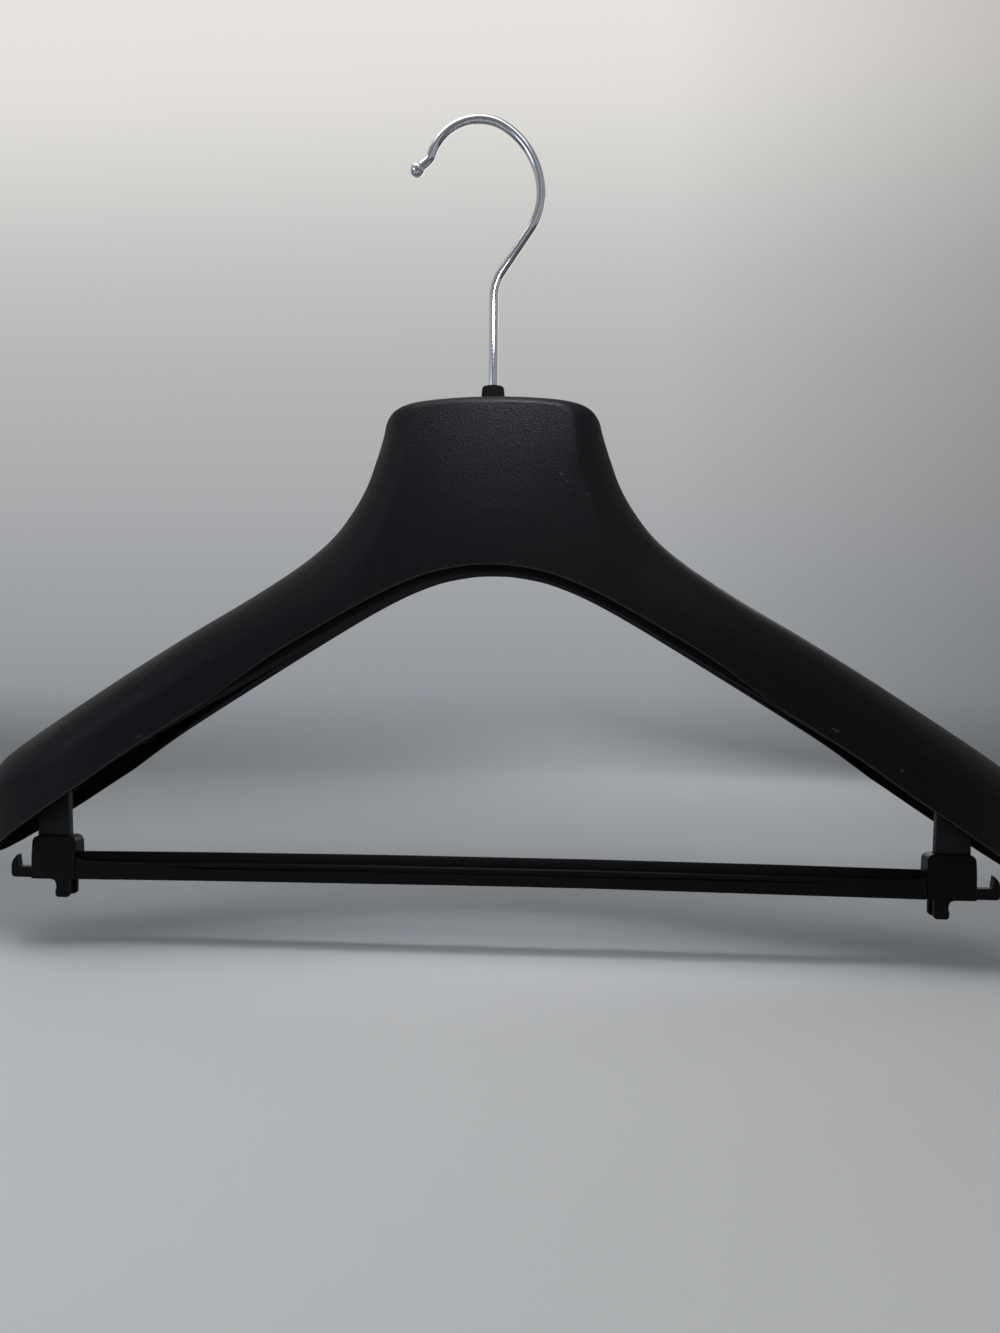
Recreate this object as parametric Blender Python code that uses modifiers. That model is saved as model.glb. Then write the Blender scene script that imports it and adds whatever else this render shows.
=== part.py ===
"""Suit hanger with wide hollow shoulders, a swivel hook and a clip-on trouser bar.

Run in Blender 4.5. Metres, +Z up. The origin is the rail seat, the point of the hook's inner
crown that lies on the swivel axis. X runs along the shoulders and -Y is the front.
"""

import math

import bmesh
import bpy
from mathutils import Matrix, Vector

MM = 0.001

# The gap between pieces that touch, how far joined solids run into each other, how far a cutter
# runs past a surface, and where the middle of a rounded corner lies as a share of its radius
GAP = 0.3 * MM
JOIN_BITE = 1.0 * MM
CUT_PAST = 5.0 * MM
ARC_MIDDLE = 1 - math.cos(math.radians(45))

# Heights on the swivel axis, measured from the rail seat
NECK_TOP = -118.0 * MM
SLEEVE_TOP = -111.5 * MM
WIRE_END = -137.5 * MM

# Shell: one row for each hand-placed section of the right half, from the middle of the neck to
# where the rounded tip starts. A section stands on a line that fans out across the arm. In mm:
# top x, top height, low x, low height (both heights below the neck's top), half depth, half the
# slot between the two folded rims, height of the fold, and the top rounding across and down. The
# last value is how much of that rounding is a flat facet, which makes the neck's sides box-like.
SECTIONS = (
    (0.0, 0.0, 0.0, -73.9, 14.0, 0.0, 3.0, 3.5, 3.5, 0.0),
    (18.0, -0.6, 7.0, -74.1, 14.0, 0.0, 3.0, 3.5, 3.5, 0.0),
    (33.0, -2.2, 13.0, -74.9, 14.0, 0.0, 3.0, 3.8, 5.5, 0.1),
    (41.0, -4.8, 18.0, -75.8, 14.0, 0.0, 3.0, 6.0, 18.0, 0.4),
    (45.2, -9.0, 22.0, -76.7, 14.0, 0.0, 3.0, 9.5, 24.5, 0.6),
    (47.3, -15.6, 26.0, -77.9, 14.1, 0.0, 3.0, 12.0, 24.4, 0.6),
    (50.4, -25.2, 31.0, -79.7, 14.3, 0.0, 3.0, 12.8, 23.4, 0.6),
    (54.5, -36.4, 38.0, -82.6, 14.6, 0.0, 3.0, 13.2, 22.0, 0.6),
    (60.7, -47.4, 47.0, -87.0, 15.1, 0.0, 3.0, 13.6, 22.2, 0.5),
    (69.7, -58.9, 58.0, -93.0, 16.0, 0.0, 3.0, 14.4, 22.8, 0.4),
    (83.0, -70.0, 73.0, -101.8, 17.3, 0.0, 3.0, 15.7, 22.6, 0.25),
    (104.0, -83.9, 95.0, -115.1, 19.2, 1.6, 3.2, 17.5, 21.5, 0.1),
    (130.0, -99.6, 122.0, -131.6, 21.6, 8.0, 4.6, 19.8, 21.5, 0.0),
    (155.0, -115.2, 148.0, -148.1, 24.2, 18.0, 6.0, 22.3, 22.0, 0.0),
    (175.0, -128.3, 168.0, -162.5, 25.8, 23.6, 6.0, 23.8, 22.0, 0.0),
)
SECTION_STEPS = 2
ARC_STEPS = 6
WALL_STEPS = 2
WALL_DRAFT = 1.0 * MM
SHELL_WALL = 2.2 * MM

# The most that draft and top rounding take of the half depth, where the tip runs out
MOST_DRAFT = 0.1
MOST_ROUNDING = 0.96

# The tip rounds off in plan as half an ellipse, and its top edge drops at the very end
TIP_STEPS = 7
TIP_TOP_X = 221.5 * MM
TIP_LOW_X = 221.0 * MM
TIP_SLOPE = 0.66
TIP_DROP = 8.0 * MM
TIP_TOP_ROUND = 8.0 * MM

# Ribs across the shell's hollow. Their plates start taller and deeper than the shell and are cut
# to its hollow, and they end this far above the slot between the rims
RIB_XS = (130.0 * MM, 158.0 * MM, 210.0 * MM)
RIB_THICKNESS = 1.6 * MM
RIB_FOOT_Z = -328.0 * MM
PAST_SIDE = 40.0 * MM
RIB_RECESS = 4.0 * MM

# The two legs, and the web that each grows into inside the shoulder
LEG_INNER_X = 186.5 * MM
LEG_OUTER_X = 201.0 * MM
LEG_DEPTH = 3.8 * MM
LEG_TAPER = 0.9 * MM
LEG_ROOT_Z = -276.0 * MM
LEG_FOOT_Z = -324.2 * MM
WEB_FOOT_Z = -291.0 * MM

# Hook boss inside the neck
BOSS_RADIUS = 7.5 * MM
BOSS_FOOT = -133.0 * MM
BOSS_FLOOR = 2.5 * MM
BOSS_WEB_FOOT = -132.0 * MM
SLEEVE_BORE_RADIUS = 4.3 * MM
WIRE_HOLE_RADIUS = 2.6 * MM
WIRE_HOLE_DEPTH = 20.0 * MM

# Hook: a bent round wire. Each step is a straight length, or a radius and a turn in degrees,
# positive to the right seen from the front
WIRE_RADIUS = 2.0 * MM
SHANK_TOP = -72.5 * MM
HOOK_STEPS = (
    (18.5 * MM, 34.2),
    (21.0 * MM, 0.0),
    (28.1 * MM, -38.4),
    (35.6 * MM, -50.8),
    (21.0 * MM, -108.0),
    (6.0 * MM, 34.0),
    (5.3 * MM, 0.0),
)
DEGREES_PER_POINT = 8.0
BALL_RADIUS = 3.05 * MM
BALL_HOLE_DEPTH = 0.5 * MM
BALL_CUTTER_LENGTH = 8.0 * MM

# Bush in the boss, and the push-on washer that holds the wire in
SLEEVE_TOP_RADIUS = 4.6 * MM
SLEEVE_BASE_RADIUS = 5.35 * MM
SLEEVE_SHANK_RADIUS = 4.0 * MM
SLEEVE_SHANK_END = -130.0 * MM
SLEEVE_CHAMFER = 0.6 * MM
WIRE_BORE_RADIUS = 2.3 * MM
RETAINER_RADIUS = 4.8 * MM
RETAINER_THICKNESS = 0.8 * MM
RETAINER_DISH = 0.5 * MM

# Trouser bar: a trough open at the top. Its outer wall has a groove and a bead that fade out
# towards the ends, and it bows up a little in the middle
BAR_BOTTOM = -326.9 * MM
BAR_END_X = 182.4 * MM
BAR_BOW = 1.3 * MM
BAR_HALF_DEPTH = 4.4 * MM
BAR_INNER_HALF = 3.0 * MM
BAR_FLOOR = 2.0 * MM
BAR_WALL_TOP = 8.3 * MM
BAR_EDGE = 0.8 * MM
LIP_CHAMFER = 0.5 * MM
LIP_HALF_WIDTH = 0.35 * MM
BEAD_RISE = 1.2 * MM
BEAD_SWELL = 0.35 * MM
BEAD_SHOULDER = 0.6 * MM
BEAD_DEPTH = 1.6 * MM
GROOVE_DEPTH = 0.6 * MM
GROOVE_ROOF_Z = 6.85 * MM
GROOVE_FLOOR_Z = 6.35 * MM
GROOVE_FOOT_Z = 5.8 * MM
BAR_XS = (0.0, 45.0 * MM, 90.0 * MM, 125.0 * MM, 150.0 * MM, 165.0 * MM, 174.0 * MM, 179.0 * MM, 182.4 * MM)
BEAD_FULL_X = 125.0 * MM
BEAD_GONE_X = 165.0 * MM
GUSSET_START_X = 174.0 * MM
GUSSET_RISE = 1.4 * MM

# Non-slip strip that lies in the trough
STRIP_HALF_WIDTH = 2.7 * MM
STRIP_TOP = 11.8 * MM
STRIP_SHOULDER = 9.4 * MM
STRIP_END_X = 182.2 * MM
CROWN_STEPS = 6

# End collars that slide on the legs
COLLAR_INNER_X = 182.7 * MM
COLLAR_OUTER_X = 202.6 * MM
COLLAR_TOP = -308.0 * MM
COLLAR_WAIST = -317.0 * MM
COLLAR_HALF_DEPTH = 4.5 * MM
COLLAR_RIM_HALF_DEPTH = 3.7 * MM
COLLAR_CORNER = 2.8 * MM
SOCKET_FLOOR = -324.5 * MM
TONGUE_LENGTH = 8.0 * MM
TONGUE_TOP = 5.4 * MM

# Foot prongs under each collar, one in front and one behind
PRONG_INNER_X = 185.4 * MM
PRONG_OUTER_X = 191.3 * MM
PRONG_SOLE = -334.8 * MM
PRONG_NECK = -331.2 * MM
PRONG_TOE = 0.3 * MM
PRONG_THICKNESS = 2.2 * MM
PRONG_FILLET = 2.2 * MM
PRONG_CORNER = 0.9 * MM

# Skirt-loop hook on the outside of each collar
LOOP_END_X = 213.2 * MM
LOOP_UPRIGHT_X = 210.0 * MM
LOOP_SEAT = -322.3 * MM
LOOP_TIP = -317.0 * MM
LOOP_HALF_DEPTH = 2.0 * MM
LOOP_CORNER = 1.6 * MM
LOOP_LEAN = 0.7 * MM
LOOP_TIP_SLOPE = 2.2 * MM
LOOP_BACK_DROP = 4.5 * MM

SHARP_ANGLE = math.radians(35)


for old in list(bpy.data.objects):
    bpy.data.objects.remove(old, do_unlink=True)

parts = bpy.data.collections.new("suit_hanger")
cutters = bpy.data.collections.new("cutters")
bpy.context.scene.collection.children.link(parts)
bpy.context.scene.collection.children.link(cutters)


def principled(name, colour, roughness, metallic=0.0):
    material = bpy.data.materials.new(name)
    material.use_nodes = True
    shader = material.node_tree.nodes["Principled BSDF"]
    shader.inputs["Base Color"].default_value = (*colour, 1.0)
    shader.inputs["Roughness"].default_value = roughness
    shader.inputs["Metallic"].default_value = metallic
    material.diffuse_color = (*colour, 1.0)
    return material


def add_object(name, mesh, material=None, guide=False):
    """Links a mesh as a part, or as a guide that only cuts or joins."""
    obj = bpy.data.objects.new(name, mesh)
    if guide:
        cutters.objects.link(obj)
        obj.hide_render = True
        obj.display_type = "WIRE"
    else:
        parts.objects.link(obj)
        mesh.materials.append(material)
        mesh.shade_smooth()
        mesh.set_sharp_from_angle(angle=SHARP_ANGLE)
    return obj


def mesh_from(name, bm):
    mesh = bpy.data.meshes.new(name)
    bm.to_mesh(mesh)
    bm.free()
    return mesh


def boolean(obj, other, operation, solver="EXACT"):
    modifier = obj.modifiers.new(operation.title() + " " + other.name, "BOOLEAN")
    modifier.operation = operation
    modifier.solver = solver
    modifier.object = other


def mirror(obj, x, y):
    modifier = obj.modifiers.new("Mirror", "MIRROR")
    modifier.use_axis = (x, y, False)
    modifier.merge_threshold = 0.00005


def evaluated_mesh(obj):
    bpy.context.view_layer.update()
    graph = bpy.context.evaluated_depsgraph_get()
    return bpy.data.meshes.new_from_object(obj.evaluated_get(graph))


def add_box(bm, low, high):
    """Adds a box between two corners to a bmesh."""
    size = [h - l for l, h in zip(low, high)]
    middle = [(l + h) / 2 for l, h in zip(low, high)]
    place = Matrix.Translation(middle) @ Matrix.Diagonal((*size, 1.0))
    bmesh.ops.create_cube(bm, size=1.0, matrix=place)


def add_prism(bm, outline, low_y, high_y):
    """Extrudes an outline of x, z points from low_y to high_y."""
    corners = [bm.verts.new((x, low_y, z)) for x, z in outline]
    face = bm.faces.new(corners)
    grown = bmesh.ops.extrude_face_region(bm, geom=[face])["geom"]
    moved = [v for v in grown if isinstance(v, bmesh.types.BMVert)]
    bmesh.ops.translate(bm, verts=moved, vec=(0.0, high_y - low_y, 0.0))
    bmesh.ops.recalc_face_normals(bm, faces=bm.faces)


def loft(name, rings, cap_end=False):
    """Skins rings of equal point counts, in order along +X, each running from its top round +Y."""
    bm = bmesh.new()
    rows = [[bm.verts.new(point) for point in ring] for ring in rings]
    for near, far in zip(rows, rows[1:]):
        for i in range(len(near) - 1):
            bm.faces.new((near[i], far[i], far[i + 1], near[i + 1]))
    if cap_end:
        bm.faces.new(reversed(rows[-1]))
    bmesh.ops.remove_doubles(bm, verts=bm.verts, dist=0.02 * MM)
    bmesh.ops.dissolve_degenerate(bm, edges=bm.edges, dist=0.005 * MM)
    return mesh_from(name, bm)


def turned(name, profile, material, steps=32):
    """Turns a closed profile of radius, height points about Z with a Screw modifier."""
    bm = bmesh.new()
    corners = [bm.verts.new((radius, 0.0, height)) for radius, height in profile]
    for start, end in zip(corners, corners[1:] + corners[:1]):
        bm.edges.new((start, end))
    obj = add_object(name, mesh_from(name, bm), material)
    screw = obj.modifiers.new("Screw", "SCREW")
    screw.steps = steps
    screw.render_steps = steps
    screw.use_merge_vertices = True
    screw.merge_threshold = 0.00001
    screw.use_smooth_shade = True
    return obj


# Shell sections

def catmull_rom(before, start, end, after, t):
    """A point of the smooth curve through start and end, on each column of the rows."""
    return tuple(
        0.5 * (2 * b + (c - a) * t + (2 * a - 5 * b + 4 * c - d) * t ** 2 + (3 * b - a - 3 * c + d) * t ** 3)
        for a, b, c, d in zip(before, start, end, after)
    )


def arm_rows():
    """Smooth rows through the hand-placed sections, in metres."""
    rows = [(*[value * MM for value in row[:-1]], row[-1]) for row in SECTIONS]
    mirrored = (-rows[1][0], rows[1][1], -rows[1][2], *rows[1][3:])
    beyond = tuple(2 * last - previous for last, previous in zip(rows[-1], rows[-2]))
    guide = [mirrored, *rows, beyond]
    smooth = []
    for i in range(1, len(guide) - 2):
        for step in range(SECTION_STEPS):
            smooth.append(catmull_rom(*guide[i - 1:i + 3], step / SECTION_STEPS))
    smooth.append(rows[-1])
    return smooth


def tip_rows(last):
    """Rows that close the tip: the half depth follows an ellipse from the last section."""
    top_x, top_z, low_x, low_z, half, slot, fold, across, down, facet = last
    rows = []
    for step in range(1, TIP_STEPS + 1):
        angle = math.pi / 2 * step / TIP_STEPS
        reach = math.sin(angle)
        keep = math.cos(angle) if step < TIP_STEPS else 0.0
        x_top = top_x + (TIP_TOP_X - top_x) * reach
        x_low = low_x + (TIP_LOW_X - low_x) * reach
        z_top = top_z - TIP_SLOPE * (x_top - top_x) - TIP_DROP * (1 - keep) ** 3
        z_low = low_z - TIP_SLOPE * (x_low - low_x)
        open_half = half * keep
        rim = min(slot + (half - slot) * reach * 2, half) * keep
        rows.append((x_top, z_top, x_low, z_low, open_half, rim, fold, across * keep,
                     TIP_TOP_ROUND + (down - TIP_TOP_ROUND) * keep, facet))
    return rows


def section(row, inset=0.0, lift=0.0, closed=False):
    """Points of a quarter of one section, from the crown down the side to the rim."""
    top_x, top_z, low_x, low_z, half, slot, fold, across, down, facet = row
    top = Vector((top_x, 0.0, top_z + NECK_TOP))
    low = Vector((low_x, 0.0, low_z + NECK_TOP))
    up = (top - low).normalized()
    length = (top - low).length - inset
    half = max(half - inset, 0.0)
    draft = min(WALL_DRAFT, half * MOST_DRAFT)
    shoulder = half - draft
    across = max(min(across, shoulder * MOST_ROUNDING), 0.0)
    slot = 0.0 if closed else max(min(slot, half), 0.0)
    base = lift if closed else 0.0
    corner = max(fold, base)
    points = [(0.0, length)]
    for step in range(ARC_STEPS + 1):
        share = step / ARC_STEPS
        over = (1 - facet) * math.sin(math.pi / 2 * share) + facet * share
        fall = (1 - facet) * (1 - math.cos(math.pi / 2 * share)) + facet * share
        points.append((shoulder - across * (1 - over), length - down * fall))
    for step in range(1, WALL_STEPS + 1):
        share = step / WALL_STEPS
        points.append((shoulder + draft * share, (length - down) * (1 - share) + corner * share))
    points.append((slot, base))
    return [low + up * height + Vector((0.0, y, 0.0)) for y, height in points]


def shell_rings(inset=0.0, closed=False):
    arm = arm_rows()
    rings = []
    for row in arm + tip_rows(arm[-1]):
        lift = inset + min(max(row[5], 0.0), RIB_RECESS)
        ring = section(row, inset, lift, closed)
        if row is arm[0]:
            ring = [Vector((0.0, p.y, p.z)) for p in ring]
        rings.append(ring)
    return rings


black_plastic = principled("black grained plastic", (0.018, 0.018, 0.019), 0.45)
smooth_plastic = principled("black smooth plastic", (0.014, 0.014, 0.015), 0.38)
strip_rubber = principled("grey soft strip", (0.03, 0.03, 0.032), 0.85)
chrome = principled("polished chrome", (0.78, 0.78, 0.80), 0.08, 1.0)
zinc = principled("zinc plated steel", (0.55, 0.55, 0.54), 0.35, 1.0)


# Shell: an open skin given its wall, then joined to the ribs, legs and boss moulded with it

shell = add_object("hanger_shell", loft("shell skin", shell_rings()), black_plastic)
mirror(shell, True, True)
wall = shell.modifiers.new("Wall", "SOLIDIFY")
wall.thickness = SHELL_WALL
wall.offset = -1.0
wall.use_even_offset = True

core = add_object("shell_core", loft("shell core", shell_rings(JOIN_BITE, True)), guide=True)
mirror(core, True, True)

rib_plates = bmesh.new()
leg_ribs = (LEG_INNER_X + RIB_THICKNESS, LEG_OUTER_X - RIB_THICKNESS)
for x in RIB_XS + leg_ribs:
    for middle in (-x, x):
        low = (middle - RIB_THICKNESS / 2, -PAST_SIDE, RIB_FOOT_Z)
        high = (middle + RIB_THICKNESS / 2, PAST_SIDE, NECK_TOP)
        add_box(rib_plates, low, high)
ribs = add_object("shell_ribs", mesh_from("shell ribs", rib_plates), guide=True)
boolean(ribs, core, "INTERSECT", "MANIFOLD")

web_plates = bmesh.new()
for side in (-1, 1):
    near, far = sorted((side * LEG_INNER_X, side * LEG_OUTER_X))
    add_box(web_plates, (near, -LEG_DEPTH / 2, WEB_FOOT_Z), (far, LEG_DEPTH / 2, NECK_TOP))
webs = add_object("leg_webs", mesh_from("leg webs", web_plates), guide=True)
boolean(webs, core, "INTERSECT", "MANIFOLD")

leg_plates = bmesh.new()
for side in (-1, 1):
    outline = [
        (side * (LEG_INNER_X + LEG_TAPER), LEG_ROOT_Z),
        (side * LEG_OUTER_X, LEG_ROOT_Z),
        (side * LEG_OUTER_X, LEG_FOOT_Z),
        (side * LEG_INNER_X, LEG_FOOT_Z),
        (side * LEG_INNER_X, COLLAR_TOP),
    ]
    add_prism(leg_plates, outline, -LEG_DEPTH / 2, LEG_DEPTH / 2)
legs = add_object("legs", mesh_from("legs", leg_plates), guide=True)

boss_shape = bmesh.new()
boss_height = NECK_TOP - JOIN_BITE - BOSS_FOOT
boss_middle = Matrix.Translation((0.0, 0.0, BOSS_FOOT + boss_height / 2))
bmesh.ops.create_cone(boss_shape, cap_ends=True, segments=32, radius1=BOSS_RADIUS, radius2=BOSS_RADIUS,
                      depth=boss_height, matrix=boss_middle)
boss = add_object("hook_boss", mesh_from("hook boss", boss_shape), guide=True)

boss_web_shape = bmesh.new()
add_box(boss_web_shape, (-RIB_THICKNESS / 2, -PAST_SIDE, BOSS_WEB_FOOT),
        (RIB_THICKNESS / 2, PAST_SIDE, NECK_TOP))
boss_web = add_object("boss_web", mesh_from("boss web", boss_web_shape), guide=True)
boolean(boss_web, core, "INTERSECT", "MANIFOLD")

bore_shape = bmesh.new()
bore_foot = BOSS_FOOT + BOSS_FLOOR
bore_height = NECK_TOP + CUT_PAST - bore_foot
bmesh.ops.create_cone(bore_shape, cap_ends=True, segments=32, radius1=SLEEVE_BORE_RADIUS,
                      radius2=SLEEVE_BORE_RADIUS, depth=bore_height,
                      matrix=Matrix.Translation((0.0, 0.0, bore_foot + bore_height / 2)))
bore = add_object("sleeve_bore", mesh_from("sleeve bore", bore_shape), guide=True)

hole_shape = bmesh.new()
bmesh.ops.create_cone(hole_shape, cap_ends=True, segments=24, radius1=WIRE_HOLE_RADIUS,
                      radius2=WIRE_HOLE_RADIUS, depth=WIRE_HOLE_DEPTH,
                      matrix=Matrix.Translation((0.0, 0.0, BOSS_FOOT)))
hole = add_object("wire_hole", mesh_from("wire hole", hole_shape), guide=True)

# The exact solver leaves loose bodies where the thin plates meet the wall, so this uses the other
for joined in (ribs, webs, legs, boss, boss_web):
    boolean(shell, joined, "UNION", "MANIFOLD")
for cut in (bore, hole):
    boolean(shell, cut, "DIFFERENCE", "MANIFOLD")


# Hook: wire, ball tip, sleeve and retainer, all on the swivel axis

def hook_route():
    """Points of the wire's centre line from its lower end to the ball's centre."""
    place = Vector((0.0, 0.0, SHANK_TOP))
    heading = 0.0
    route = [Vector((0.0, 0.0, WIRE_END)), place.copy()]
    for size, turn in HOOK_STEPS:
        if turn == 0.0:
            place = place + Vector((math.sin(heading), 0.0, math.cos(heading))) * size
            route.append(place.copy())
            continue
        side = math.copysign(1.0, turn)
        centre = place + side * size * Vector((math.cos(heading), 0.0, -math.sin(heading)))
        count = max(3, round(abs(turn) / DEGREES_PER_POINT))
        for step in range(1, count + 1):
            angle = heading + math.radians(turn) * step / count
            place = centre - side * size * Vector((math.cos(angle), 0.0, -math.sin(angle)))
            route.append(place.copy())
        heading += math.radians(turn)
    return route, Vector((math.sin(heading), 0.0, math.cos(heading)))


route, end_direction = hook_route()
wire_curve = bpy.data.curves.new("hook wire", "CURVE")
wire_curve.dimensions = "3D"
wire_curve.bevel_depth = WIRE_RADIUS
wire_curve.bevel_resolution = 4
wire_curve.use_fill_caps = True
spline = wire_curve.splines.new("POLY")
spline.points.add(len(route) - 1)
for point, place in zip(spline.points, route):
    point.co = (*place, 1.0)
wire_curve.materials.append(chrome)
wire = bpy.data.objects.new("hook_wire", wire_curve)
parts.objects.link(wire)

ball_centre = route[-1]
ball_shape = bmesh.new()
bmesh.ops.create_uvsphere(ball_shape, u_segments=24, v_segments=14, radius=BALL_RADIUS,
                          matrix=Matrix.Translation(ball_centre))
ball = add_object("hook_ball_tip", mesh_from("hook ball tip", ball_shape), chrome)
seat_shape = bmesh.new()
seat_middle = ball_centre - end_direction * (BALL_CUTTER_LENGTH / 2 - BALL_HOLE_DEPTH)
seat_turn = end_direction.to_track_quat("Z", "Y").to_matrix().to_4x4()
bmesh.ops.create_cone(seat_shape, cap_ends=True, segments=24, radius1=WIRE_RADIUS + GAP,
                      radius2=WIRE_RADIUS + GAP, depth=BALL_CUTTER_LENGTH,
                      matrix=Matrix.Translation(seat_middle) @ seat_turn)
ball_hole = add_object("ball_hole", mesh_from("ball hole", seat_shape), guide=True)
boolean(ball, ball_hole, "DIFFERENCE")

sleeve_base = NECK_TOP + GAP
sleeve = turned("hook_sleeve", [
    (WIRE_BORE_RADIUS, SLEEVE_TOP),
    (SLEEVE_TOP_RADIUS - SLEEVE_CHAMFER, SLEEVE_TOP),
    (SLEEVE_TOP_RADIUS, SLEEVE_TOP - SLEEVE_CHAMFER),
    (SLEEVE_BASE_RADIUS, sleeve_base),
    (SLEEVE_SHANK_RADIUS, sleeve_base),
    (SLEEVE_SHANK_RADIUS, SLEEVE_SHANK_END),
    (WIRE_BORE_RADIUS, SLEEVE_SHANK_END),
], smooth_plastic)

retainer_top = BOSS_FOOT - GAP
retainer = turned("hook_retainer", [
    (WIRE_BORE_RADIUS, retainer_top - RETAINER_DISH),
    (RETAINER_RADIUS, retainer_top),
    (RETAINER_RADIUS, retainer_top - RETAINER_THICKNESS),
    (WIRE_BORE_RADIUS, retainer_top - RETAINER_THICKNESS - RETAINER_DISH),
], zinc)


# Trouser bar and its strip

def bow(x):
    return BAR_BOW * (1 - (x / BAR_END_X) ** 2)


def bead_share(x):
    """1 where the bead is whole, 0 where it has faded into the plain wall."""
    share = (BEAD_GONE_X - x) / (BEAD_GONE_X - BEAD_FULL_X)
    share = min(max(share, 0.0), 1.0)
    return share * share * (3 - 2 * share)


def bar_ring(x):
    """A quarter of the trough's section, from its floor over the wall and down to the bottom."""
    bead = bead_share(x)
    gusset = max(x - GUSSET_START_X, 0.0) / (BAR_END_X - GUSSET_START_X)
    top = BAR_WALL_TOP + BEAD_RISE * bead + GUSSET_RISE * gusset
    outer = BAR_HALF_DEPTH
    swell = outer + BEAD_SWELL * bead
    lip = (swell + BAR_INNER_HALF) / 2
    profile = [
        (0.0, BAR_FLOOR),
        (BAR_INNER_HALF, BAR_FLOOR),
        (BAR_INNER_HALF, top - LIP_CHAMFER),
        (lip - LIP_HALF_WIDTH, top),
        (lip + LIP_HALF_WIDTH, top),
        (swell, top - BEAD_SHOULDER),
        (swell, top - BEAD_DEPTH),
        (outer - GROOVE_DEPTH * bead, GROOVE_ROOF_Z),
        (outer - GROOVE_DEPTH * bead, GROOVE_FLOOR_Z),
        (outer, GROOVE_FOOT_Z),
        (outer, BAR_EDGE),
        (outer - BAR_EDGE * ARC_MIDDLE, BAR_EDGE * ARC_MIDDLE),
        (outer - BAR_EDGE, 0.0),
        (0.0, 0.0),
    ]
    return [Vector((x, y, BAR_BOTTOM + z + bow(x))) for y, z in profile]


bar_rings = [bar_ring(x) for x in BAR_XS]
bar = add_object("trouser_bar", loft("trouser bar", bar_rings, cap_end=True), smooth_plastic)
mirror(bar, True, True)


def strip_ring(x):
    """A quarter of the strip's section, from its crown down to its flat underside."""
    profile = [(0.0, STRIP_TOP)]
    for step in range(1, CROWN_STEPS + 1):
        angle = math.pi / 2 * step / CROWN_STEPS
        rise = (STRIP_TOP - STRIP_SHOULDER) * math.cos(angle)
        profile.append((STRIP_HALF_WIDTH * math.sin(angle), STRIP_SHOULDER + rise))
    profile.append((STRIP_HALF_WIDTH, BAR_FLOOR + GAP))
    profile.append((0.0, BAR_FLOOR + GAP))
    return [Vector((x, y, BAR_BOTTOM + z + bow(x))) for y, z in profile]


strip_xs = [x for x in BAR_XS if x < STRIP_END_X] + [STRIP_END_X]
strip_rings = [strip_ring(x) for x in strip_xs]
strip = add_object("non_slip_strip", loft("non-slip strip", strip_rings, cap_end=True), strip_rubber)
mirror(strip, True, True)

notch_shape = bmesh.new()
for side in (-1, 1):
    near, far = sorted((side * (COLLAR_INNER_X - TONGUE_LENGTH - GAP), side * (STRIP_END_X + JOIN_BITE)))
    add_box(notch_shape, (near, -COLLAR_HALF_DEPTH, BAR_BOTTOM + BAR_FLOOR - GAP),
            (far, COLLAR_HALF_DEPTH, BAR_BOTTOM + TONGUE_TOP + 2 * GAP))
notches = add_object("strip_notches", mesh_from("strip notches", notch_shape), guide=True)
boolean(strip, notches, "DIFFERENCE")


# End collars: a socket for the leg, a tongue for the bar, two foot prongs and a skirt-loop hook

collar_shape = bmesh.new()
side_profile = [
    (-COLLAR_HALF_DEPTH, BAR_BOTTOM),
    (COLLAR_HALF_DEPTH, BAR_BOTTOM),
    (COLLAR_HALF_DEPTH, COLLAR_WAIST),
    (COLLAR_RIM_HALF_DEPTH, COLLAR_TOP),
    (-COLLAR_RIM_HALF_DEPTH, COLLAR_TOP),
    (-COLLAR_HALF_DEPTH, COLLAR_WAIST),
]
end_face = collar_shape.faces.new([collar_shape.verts.new((COLLAR_INNER_X, y, z)) for y, z in side_profile])
grown = bmesh.ops.extrude_face_region(collar_shape, geom=[end_face])["geom"]
bmesh.ops.translate(collar_shape, verts=[v for v in grown if isinstance(v, bmesh.types.BMVert)],
                    vec=(COLLAR_OUTER_X - COLLAR_INNER_X, 0.0, 0.0))
bmesh.ops.recalc_face_normals(collar_shape, faces=collar_shape.faces)
rim_edges = [e for e in collar_shape.edges
             if all(abs(v.co.z - COLLAR_TOP) < 0.01 * MM for v in e.verts)
             and abs(e.verts[0].co.x - e.verts[1].co.x) < 0.01 * MM]
bmesh.ops.bevel(collar_shape, geom=rim_edges, offset=COLLAR_CORNER, segments=4, profile=0.5, affect="EDGES")
collar = add_object("collar_body", mesh_from("collar body", collar_shape), guide=True)

socket_shape = bmesh.new()
add_box(socket_shape, (LEG_INNER_X - GAP, -LEG_DEPTH / 2 - GAP, SOCKET_FLOOR),
        (LEG_OUTER_X + GAP, LEG_DEPTH / 2 + GAP, COLLAR_TOP + CUT_PAST))
socket = add_object("leg_socket", mesh_from("leg socket", socket_shape), guide=True)

tongue_shape = bmesh.new()
tongue_floor = BAR_BOTTOM + BAR_FLOOR + 2 * GAP
add_box(tongue_shape, (COLLAR_INNER_X - TONGUE_LENGTH, -BAR_INNER_HALF + GAP, tongue_floor),
        (COLLAR_INNER_X + JOIN_BITE, BAR_INNER_HALF - GAP, BAR_BOTTOM + TONGUE_TOP))
tongue = add_object("bar_tongue", mesh_from("bar tongue", tongue_shape), guide=True)

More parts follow.
